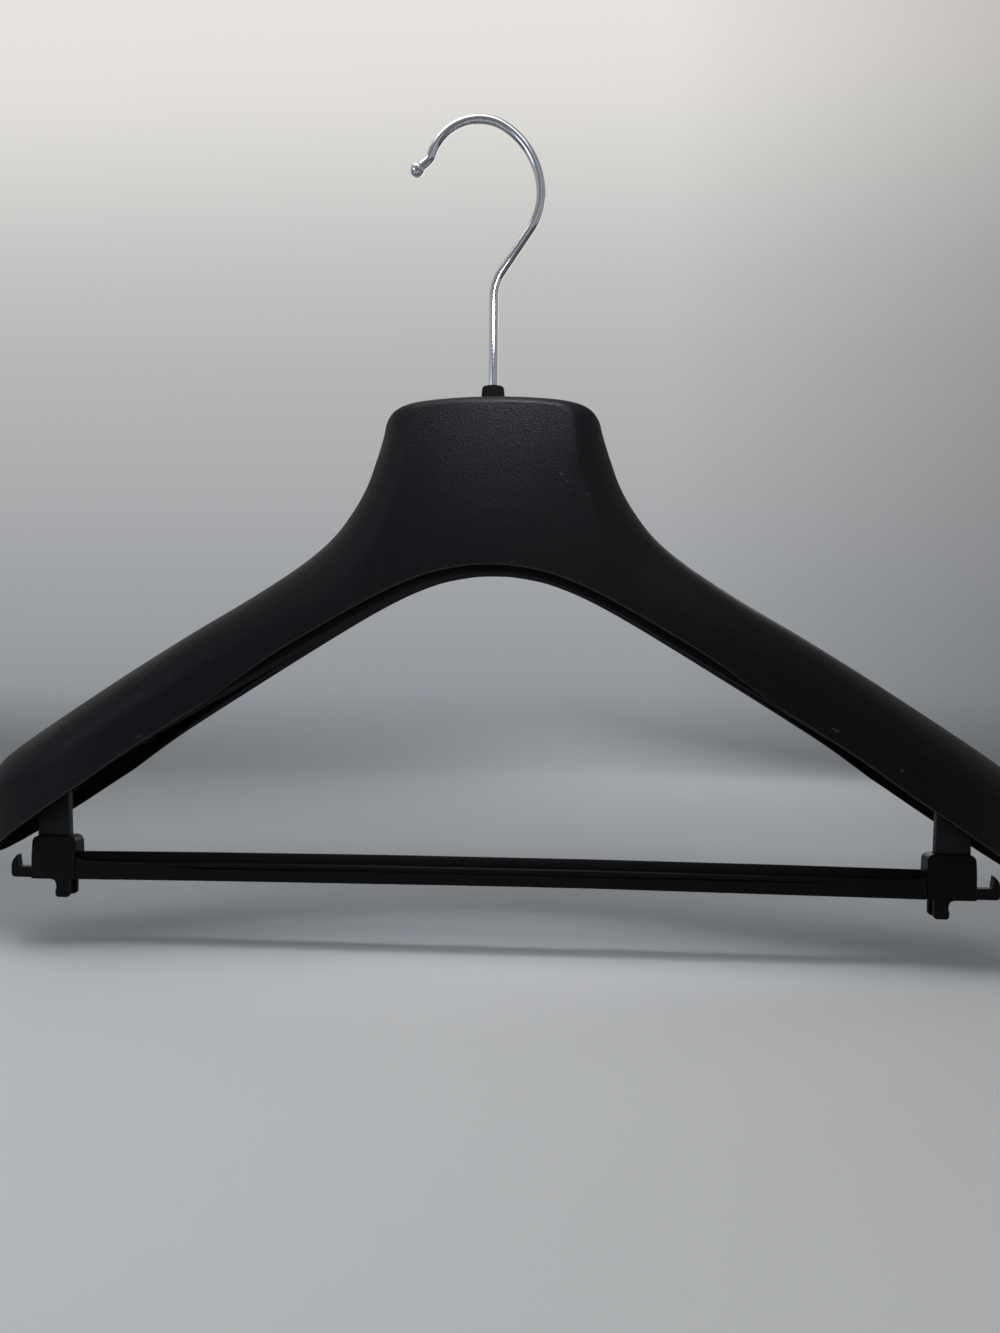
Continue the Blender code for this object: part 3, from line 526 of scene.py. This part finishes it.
# The leg is 0.9 mm narrower at its top than from z = -308 down
leg_outline = (
    (187.4, LEG_TOP),
    (LEG_OUTER_X, LEG_TOP),
    (LEG_OUTER_X, LEG_FOOT),
    (LEG_INNER_X, LEG_FOOT),
    (LEG_INNER_X, -308.0),
)
legs = bmesh.new()
for side in (-1, 1):
    corners = [legs.verts.new((side * x * MM, -LEG_HALF_DEPTH * MM, z * MM)) for x, z in leg_outline]
    grown = bmesh.ops.extrude_face_region(legs, geom=[legs.faces.new(corners)])["geom"]
    bmesh.ops.translate(legs, verts=only(bmesh.types.BMVert, grown), vec=(0.0, 2 * LEG_HALF_DEPTH * MM, 0.0))
bmesh.ops.recalc_face_normals(legs, faces=legs.faces)
for near, far in ((-LEG_OUTER_X, -LEG_INNER_X), (LEG_INNER_X, LEG_OUTER_X)):
    legs.from_mesh(slice_of_hollow((near, -LEG_HALF_DEPTH, LEG_WEB_FOOT), (far, LEG_HALF_DEPTH, NECK_TOP)))

leg_piece = add_piece("bar_legs", legs, plain_black)
soften_edges(leg_piece, 0.45 * MM, angle=50)
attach(leg_piece, "shell")
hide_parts("hanger_shell")


# Hook boss. A round tube inside the neck, moulded with the shell, that holds the hook's bush. It is
# turned here from half its section.

TURNED_SIDES = 48


def turn_profile(profile):
    """Spins a closed outline of radius and height, in mm, once round the swivel axis."""
    bm = bmesh.new()
    corners = [bm.verts.new((radius * MM, 0.0, height * MM)) for radius, height in profile]
    edges = [bm.edges.new(pair) for pair in zip(corners, corners[1:] + corners[:1])]
    bmesh.ops.spin(bm, geom=corners + edges, cent=(0.0, 0.0, 0.0), axis=(0.0, 0.0, 1.0), dvec=(0.0, 0.0, 0.0),
                   angle=math.tau, steps=TURNED_SIDES, use_merge=True, use_duplicate=False)
    bmesh.ops.remove_doubles(bm, verts=bm.verts, dist=0.005 * MM)
    bmesh.ops.recalc_face_normals(bm, faces=bm.faces)
    return bm


boss = add_piece("hook_boss", turn_profile([
    (7.5, -119.2), (4.3, -119.2), (4.3, -130.5), (2.6, -130.5), (2.6, -133.0), (7.5, -133.0),
]), plain_black)
soften_edges(boss, 0.25 * MM)
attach(boss, "shell")
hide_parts("hanger_shell")


# Hook bush. A small tapered plug of black plastic pressed into the boss, as matt as the shell's core
# side. Its collar stands on top of the neck, and the wire turns in its bore.

bush = add_piece("tapered_bush", turn_profile([
    (2.3, -111.7), (2.5, -111.5), (4.0, -111.5), (4.35, -111.6), (4.6, -111.85), (4.7, -112.3),
    (5.25, -117.7), (4.0, -117.7), (4.0, -130.0), (2.3, -130.0),
]), core_black)
soften_edges(bush, 0.12 * MM, segments=2)
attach(bush, "shell")
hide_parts("hook_sleeve")


# Hook. A length of 4 mm steel wire, bent in one plane on a wire bender and then chrome plated. Here
# it is drawn in the same order as the bender makes it: feed, bend, feed, bend.

WIRE_RADIUS = 2.0
WIRE_FOOT = -137.5
WIRE_SIDES = 32
DEGREES_PER_STEP = 3


def push_out(bm, rim, step):
    """Extrudes the rim's edges in a straight line, and returns the new rim, its vertices and edges."""
    grown = bmesh.ops.extrude_edge_only(bm, edges=only(bmesh.types.BMEdge, rim))["geom"]
    moved = only(bmesh.types.BMVert, grown)
    bmesh.ops.translate(bm, verts=moved, vec=step)
    return moved + [e for e in only(bmesh.types.BMEdge, grown) if all(v in moved for v in e.verts)]


def feed(end, length):
    """Pushes the wire on in a straight line, and returns its new end: rim, middle and heading."""
    rim, middle, heading = end
    step = Vector((math.sin(heading), 0.0, math.cos(heading))) * length * MM
    return push_out(wire, rim, step), middle + step, heading


def bend(end, radius, degrees):
    """Bends the wire round a die of that radius to its middle, to the right where degrees is positive."""
    rim, middle, heading = end
    side = math.copysign(radius * MM, degrees)
    centre = middle + Vector((math.cos(heading), 0.0, -math.sin(heading))) * side
    steps = round(abs(degrees) / DEGREES_PER_STEP)
    turned = bmesh.ops.spin(wire, geom=rim, cent=centre, axis=(0.0, 1.0, 0.0), dvec=(0.0, 0.0, 0.0),
                            angle=math.radians(degrees), steps=steps, use_merge=False, use_duplicate=False)
    heading += math.radians(degrees)
    middle = centre - Vector((math.cos(heading), 0.0, -math.sin(heading))) * side
    return turned["geom_last"], middle, heading


foot = Vector((0.0, 0.0, WIRE_FOOT * MM))
wire = bmesh.new()
bmesh.ops.create_circle(wire, segments=WIRE_SIDES, radius=WIRE_RADIUS * MM, matrix=Matrix.Translation(foot))
end = (wire.verts[:] + wire.edges[:], foot, 0.0)
end = feed(end, 65.0)
end = bend(end, 18.5, 34.2)
end = feed(end, 21.0)
end = bend(end, 28.1, -38.4)
end = bend(end, 35.6, -50.8)
end = bend(end, 21.0, -108.0)
end = bend(end, 6.0, 34.0)
end = feed(end, 5.3)
tip, heading = end[1:]
bmesh.ops.holes_fill(wire, edges=[e for e in wire.edges if e.is_boundary], sides=0)
bmesh.ops.remove_doubles(wire, verts=wire.verts, dist=0.002 * MM)
bmesh.ops.recalc_face_normals(wire, faces=wire.faces)

# Decorative chrome over nickel: a cool mirror, with the slight waviness of the drawn wire under it,
# about 6 mm long, and a haze that changes every 17 mm or so
chrome, place = start_material("chrome_plated_steel_wire")
ripple = add_node(chrome, "TexNoise", {"Vector": place, "Scale": 160.0, "Detail": 1.0})["Fac"]
bump = add_node(chrome, "Bump", {"Height": ripple, "Strength": 0.05, "Distance": 0.00008})["Normal"]
haze = add_node(chrome, "TexNoise", {"Vector": place, "Scale": 60.0, "Detail": 1.0})["Fac"]
gloss = add_node(chrome, "MapRange", {"Value": haze, "From Min": 0.35, "From Max": 0.7,
                                      "To Min": 0.10, "To Max": 0.14})["Result"]
tone = add_node(chrome, "Mix", {BLEND: haze, COLOUR_A: linear("#c9cacb"),
                                COLOUR_B: linear("#bfc1c3")}, data_type="RGBA")[BLENDED]
shader = add_node(chrome, "BsdfPrincipled", {"Base Color": tone, "Metallic": 1.0, "Roughness": gloss,
                                             "Normal": bump})["BSDF"]
add_node(chrome, "OutputMaterial", {"Surface": shader})

hook = add_piece("bent_wire_hook", wire, chrome)
soften_edges(hook, 0.4 * MM, angle=60)
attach(hook, "hook")
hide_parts("hook_wire")


# Ball tip. A small turned ball with a blind bore, pushed on the wire's end so that it doesn't catch
# on cloth, and plated with it.

BALL_RADIUS = 3.05
BALL_BORE_RADIUS = 2.1
BALL_BORE_FLOOR = 0.5

# Half the ball's section, from the floor of its bore over the bore's mouth to the far side
ball = turn_profile([(BALL_BORE_RADIUS, BALL_BORE_FLOOR)] + [
    (BALL_RADIUS * math.sin(math.radians(angle)), -BALL_RADIUS * math.cos(math.radians(angle)))
    for angle in range(137, 0, -4)
] + [(0.0, -BALL_RADIUS), (0.0, BALL_BORE_FLOOR)])
toward_wire = -Vector((math.sin(heading), 0.0, math.cos(heading)))
bmesh.ops.transform(ball, verts=ball.verts, matrix=Matrix.Translation(tip)
                    @ toward_wire.to_track_quat("Z", "Y").to_matrix().to_4x4())
ball_piece = add_piece("ball_tip", ball, chrome)
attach(ball_piece, "hook")
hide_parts("hook_ball_tip")


# Push-on washer. A dished ring of spring steel, forced on the wire under the boss so that the hook can
# turn but can't be pulled out. Its zinc plating is a dull, warm grey with spangles about 1 mm across.

washer = turn_profile([(2.3, -133.8), (4.8, -133.3), (4.8, -134.1), (2.3, -134.6)])
zinc, place = start_material("zinc_plated_spring_steel")
spangle = add_node(zinc, "TexVoronoi", {"Vector": place, "Scale": 900.0})["Color"]
patch = add_node(zinc, "RGBToBW", {"Color": spangle})["Val"]
gloss = add_node(zinc, "MapRange", {"Value": patch, "To Min": 0.28, "To Max": 0.42})["Result"]
tone = add_node(zinc, "Mix", {BLEND: patch, COLOUR_A: linear("#b4b3ae"),
                              COLOUR_B: linear("#c6c5bf")}, data_type="RGBA")[BLENDED]
shader = add_node(zinc, "BsdfPrincipled", {"Base Color": tone, "Metallic": 1.0, "Roughness": gloss})["BSDF"]
add_node(zinc, "OutputMaterial", {"Surface": shader})

washer_piece = add_piece("push_on_washer", washer, zinc)
soften_edges(washer_piece, 0.12 * MM)
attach(washer_piece, "hook")
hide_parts("hook_retainer")


# Trouser bar. A straight trough moulded in black plastic, open at the top, with a bead and a groove
# along each side that fade out towards its ends.

# Between its ends the bar above this height lies lower than by the collars. The drop starts this far
# out from the middle and is whole after this length. All in mm.
LIP_FOOT = -323.4
LIP_DROP = 1.5
LIP_DROPS_FROM = 165.0
LIP_DROP_LENGTH = 40.0


def softened_copy(node, name, material, width):
    """A merged copy of a CAD node with its flats joined up and its edges rounded."""
    bm = bmesh.new()
    bm.from_mesh(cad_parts[node].data)
    bmesh.ops.remove_doubles(bm, verts=bm.verts, dist=0.002 * MM)
    bmesh.ops.dissolve_limit(bm, angle_limit=math.radians(0.3), verts=bm.verts, edges=bm.edges)
    piece = add_piece(name, bm, material)
    soften_edges(piece, width)
    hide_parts(node)
    return piece


# Black polypropylene from a polished mould, for the bar and the collars: a closer sheen than the
# shell's, with faint streaks along the bar about 33 mm long and 1.4 mm wide
glossy_black, place = start_material("moulded_polypropylene_polished")
long_place = add_node(glossy_black, "Mapping", {"Vector": place, "Scale": (30.0, 700.0, 700.0)})["Vector"]
streak = add_node(glossy_black, "TexNoise", {"Vector": long_place, "Scale": 1.0, "Detail": 4.0})["Fac"]
speckle = add_node(glossy_black, "TexNoise", {"Vector": place, "Scale": 700.0, "Detail": 2.0})["Fac"]
relief = add_node(glossy_black, "Math", {0: streak, 1: 0.5, 2: speckle}, operation="MULTIPLY_ADD")["Value"]
bump = add_node(glossy_black, "Bump", {"Height": relief, "Strength": 0.2, "Distance": 0.00005})["Normal"]
gloss = add_node(glossy_black, "MapRange", {"Value": streak, "From Min": 0.3, "From Max": 0.7,
                                            "To Min": 0.28, "To Max": 0.38})["Result"]
shade = add_node(glossy_black, "Mix", {BLEND: speckle, COLOUR_A: linear("#050506"),
                                       COLOUR_B: linear("#09090a")}, data_type="RGBA")[BLENDED]
shader = add_node(glossy_black, "BsdfPrincipled", {"Base Color": shade, "Roughness": gloss, "IOR": 1.49,
                                                   "Specular IOR Level": 0.11, "Normal": bump})["BSDF"]
add_node(glossy_black, "OutputMaterial", {"Surface": shader})

bar = softened_copy("trouser_bar", "trouser_bar_trough", glossy_black, 0.22 * MM)
for vert in bar.data.vertices:
    if vert.co.z > LIP_FOOT * MM:
        dropped = (LIP_DROPS_FROM - abs(vert.co.x) / MM) / LIP_DROP_LENGTH
        vert.co.z -= LIP_DROP * MM * min(max(dropped, 0.0), 1.0)
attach(bar, "bar")


# Non-slip strip. A dark grey soft vinyl profile with a rounded top, pushed into the trough along its
# whole length. Its skin is matt and slightly rough, with pores about 0.7 mm apart.

soft_grey, place = start_material("soft_vinyl_strip")
pores = add_node(soft_grey, "TexNoise", {"Vector": place, "Scale": 1400.0, "Detail": 4.0})["Fac"]
bump = add_node(soft_grey, "Bump", {"Height": pores, "Strength": 0.6, "Distance": 0.00015})["Normal"]
shade = add_node(soft_grey, "Mix", {BLEND: pores, COLOUR_A: linear("#050506"),
                                    COLOUR_B: linear("#0d0d0f")}, data_type="RGBA")[BLENDED]
shader = add_node(soft_grey, "BsdfPrincipled", {"Base Color": shade, "Roughness": 0.8, "IOR": 1.5,
                                                "Specular IOR Level": 0.12, "Normal": bump})["BSDF"]
add_node(soft_grey, "OutputMaterial", {"Surface": shader})

strip = softened_copy("non_slip_strip", "vinyl_grip_strip", soft_grey, 0.25 * MM)
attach(strip, "bar")


# End collars. Two black mouldings that hold the ends of the bar and clip on the legs from below. Each
# has a socket for the leg, two foot prongs and a hook on the outside for a skirt's hanging loop.

for side in ("left", "right"):
    collar = softened_copy(side + "_end_collar", side + "_bar_collar", glossy_black, 0.3 * MM)
    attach(collar, "bar")


# Studio. A pale sheet sweeps from the floor up behind the hanger. A broad soft box hangs overhead and
# a strip in front of it, a small lamp lights the neck, windows stand on the left and behind, and an
# upright strip gives the chrome its bright line. The room round them is pale.

# In metres: the floor, which is clear of the bar at the end of its slide, the sheet's half width,
# where it starts and where it turns up, the radius of that turn, and its height above it
FLOOR = -0.358
SHEET_HALF_WIDTH = 2.4
SHEET_FRONT = -2.2
SHEET_BACK = 0.7
SHEET_TURN = 0.15
SHEET_HEIGHT = 2.0

sheet = bmesh.new()
front_corners = [sheet.verts.new((x, SHEET_FRONT, FLOOR)) for x in (-SHEET_HALF_WIDTH, SHEET_HALF_WIDTH)]
sheet_rim = push_out(sheet, [sheet.edges.new(front_corners)], (0.0, SHEET_BACK - SHEET_FRONT, 0.0))
turned = bmesh.ops.spin(sheet, geom=sheet_rim, cent=(0.0, SHEET_BACK, FLOOR + SHEET_TURN),
                        axis=(1.0, 0.0, 0.0), dvec=(0.0, 0.0, 0.0), angle=math.radians(90), steps=16,
                        use_merge=False, use_duplicate=False)
push_out(sheet, turned["geom_last"], (0.0, 0.0, SHEET_HEIGHT))

paper, place = start_material("pale_paper_sweep")
along = add_node(paper, "SeparateXYZ", {"Vector": place})
# On the floor the sheet is palest under the hanger and in front of it, and a grey band behind is painted
# shadow
behind = add_node(paper, "MapRange", {"Value": along["Y"], "From Min": -0.02, "From Max": 0.04},
                  interpolation_type="SMOOTHSTEP")["Result"]
# Farther back the floor is painted a little dimmer than in front
beyond = add_node(paper, "MapRange", {"Value": along["Y"], "From Min": 0.14, "From Max": 0.3},
                  interpolation_type="SMOOTHSTEP")["Result"]
shadow_band_tone = add_node(paper, "Mix", {BLEND: behind, COLOUR_A: linear("#f1f2f2"),
                                    COLOUR_B: linear("#adb0b4")}, data_type="RGBA")[BLENDED]
painted_floor_shade = add_node(paper, "Mix", {BLEND: beyond, COLOUR_A: shadow_band_tone,
                                     COLOUR_B: linear("#c6c9cb")}, data_type="RGBA")[BLENDED]
shader = add_node(paper, "BsdfPrincipled", {"Base Color": painted_floor_shade, "Roughness": 0.9})["BSDF"]
# The wall glows with painted light: white at the top, grey at its foot, a little darker to the right
lower = add_node(paper, "MapRange", {"Value": along["Z"], "From Min": -0.3, "From Max": 0.2})["Result"]
upper = add_node(paper, "MapRange", {"Value": along["Z"], "From Min": 0.15, "From Max": 0.6},
                 interpolation_type="SMOOTHSTEP")["Result"]
low_tone = add_node(paper, "Mix", {BLEND: lower, COLOUR_A: linear("#90949a"),
                                   COLOUR_B: linear("#bababa")}, data_type="RGBA")[BLENDED]
painted_wall_light = add_node(paper, "Mix", {BLEND: upper, COLOUR_A: low_tone,
                                    COLOUR_B: linear("#e6e3df")}, data_type="RGBA")[BLENDED]
painted_dimming = add_node(paper, "MapRange", {"Value": along["X"], "From Min": 0.15, "From Max": 0.65,
                                   "To Min": 1.0, "To Max": 0.62})["Result"]
glow = add_node(paper, "Emission", {"Color": painted_wall_light, "Strength": painted_dimming})["Emission"]
# The wall's colour doesn't depend on the lamps, where the camera, gloss or glass shows it
wall_share = add_node(paper, "MapRange", {"Value": along["Z"], "From Min": -0.357, "From Max": -0.26},
                      interpolation_type="SMOOTHSTEP")["Result"]
ray = add_node(paper, "LightPath", {})
shown = add_node(paper, "Math", {0: ray["Is Camera Ray"], 1: ray["Is Glossy Ray"]},
                 operation="MAXIMUM")["Value"]
seen = add_node(paper, "Math", {0: shown, 1: ray["Is Transmission Ray"]}, operation="MAXIMUM")["Value"]
glow_share = add_node(paper, "Math", {0: seen, 1: wall_share}, operation="MULTIPLY")["Value"]
surface = add_node(paper, "MixShader", {0: glow_share, 1: shader, 2: glow})["Shader"]
add_node(paper, "OutputMaterial", {"Surface": surface})
sweep = add_piece("paper_sweep", sheet, paper)

# Size, place and aim in metres, power in watts, spread in degrees
for name, size, stand, aim, power, spread, tint in (
    ("overhead_soft_box", (0.8, 0.6), (-0.25, -0.08, 0.75), (-0.1, 0.05, -0.2), 3.0, 180, "#fffdf8"),
    ("front_strip", (0.6, 0.2), (-0.05, -0.34, 0.46), (0.0, 0.0, -0.16), 1.15, 180, "#fbfcff"),
    ("neck_lamp", (0.05, 0.02), (0.01, -0.085, -0.055), (0.005, 0.0, -0.145), 0.062, 90, "#f6f9ff"),
    ("window_on_the_left", (0.3, 0.3), (-0.6, -0.5, -0.05), (-0.15, 0.0, -0.27), 0.95, 180, "#dbe8ff"),
    ("window_behind", (0.5, 0.5), (0.2, 0.7, 0.0), (0.0, 0.0, -0.2), 1.0, 180, "#f6f9ff"),
    ("upright_strip", (0.04, 0.45), (0.225, -0.556, 0.17), (0.0, 0.0, -0.04), 0.08, 180, "#ffffff"),
):
    lamp = bpy.data.lights.new(name, "AREA")
    lamp.shape = "RECTANGLE"
    lamp.size, lamp.size_y = size
    lamp.energy = power
    lamp.spread = math.radians(spread)
    lamp.color = linear(tint)[:3]
    light = bpy.data.objects.new(name, lamp)
    bpy.context.scene.collection.objects.link(light)
    light.visible_camera = False
    light.location = stand
    light.rotation_euler = (Vector(aim) - Vector(stand)).to_track_quat("-Z", "Y").to_euler()

# The room. It gives little light, but gloss shows its walls and ceiling, and the left wall is the
# brightest. The camera sees it at a strength of its own.
ROOM_LIGHT = 0.1
ROOM_SEEN = 0.75
ROOM_MIRRORED = 0.4

# The sockets of a Mix node that blends two plain numbers
NUMBER_A, NUMBER_B, BLENDED_NUMBER = 2, 3, 0

world = bpy.data.worlds.new("room")
world.use_nodes = True
world.node_tree.nodes.clear()
toward = add_node(world, "SeparateXYZ", {"Vector": add_node(world, "TexCoord", {})["Generated"]})
mirrored = ROOM_MIRRORED
for axis, start, end, brightness in (("X", -0.4, -0.85, 0.75), ("X", 0.4, 0.8, 0.6), ("Z", 0.3, 0.9, 0.5)):
    wall = add_node(world, "MapRange", {"Value": toward[axis], "From Min": start, "From Max": end,
                                        "To Min": ROOM_MIRRORED, "To Max": brightness})["Result"]
    mirrored = add_node(world, "Math", {0: wall, 1: mirrored}, operation="MAXIMUM")["Value"]
ray = add_node(world, "LightPath", {})
clear = add_node(world, "Math", {0: ray["Is Camera Ray"], 1: ray["Is Transmission Ray"]},
                 operation="MAXIMUM")["Value"]
given = add_node(world, "Mix", {BLEND: ray["Is Glossy Ray"], NUMBER_A: ROOM_LIGHT,
                                NUMBER_B: mirrored})[BLENDED_NUMBER]
strength = add_node(world, "Mix", {BLEND: clear, NUMBER_A: given, NUMBER_B: ROOM_SEEN})[BLENDED_NUMBER]
room = add_node(world, "Background", {"Color": linear("#d3d8de"), "Strength": strength})["Background"]
add_node(world, "OutputWorld", {"Surface": room})
bpy.context.scene.world = world
bpy.context.scene.view_settings.view_transform = "Standard"
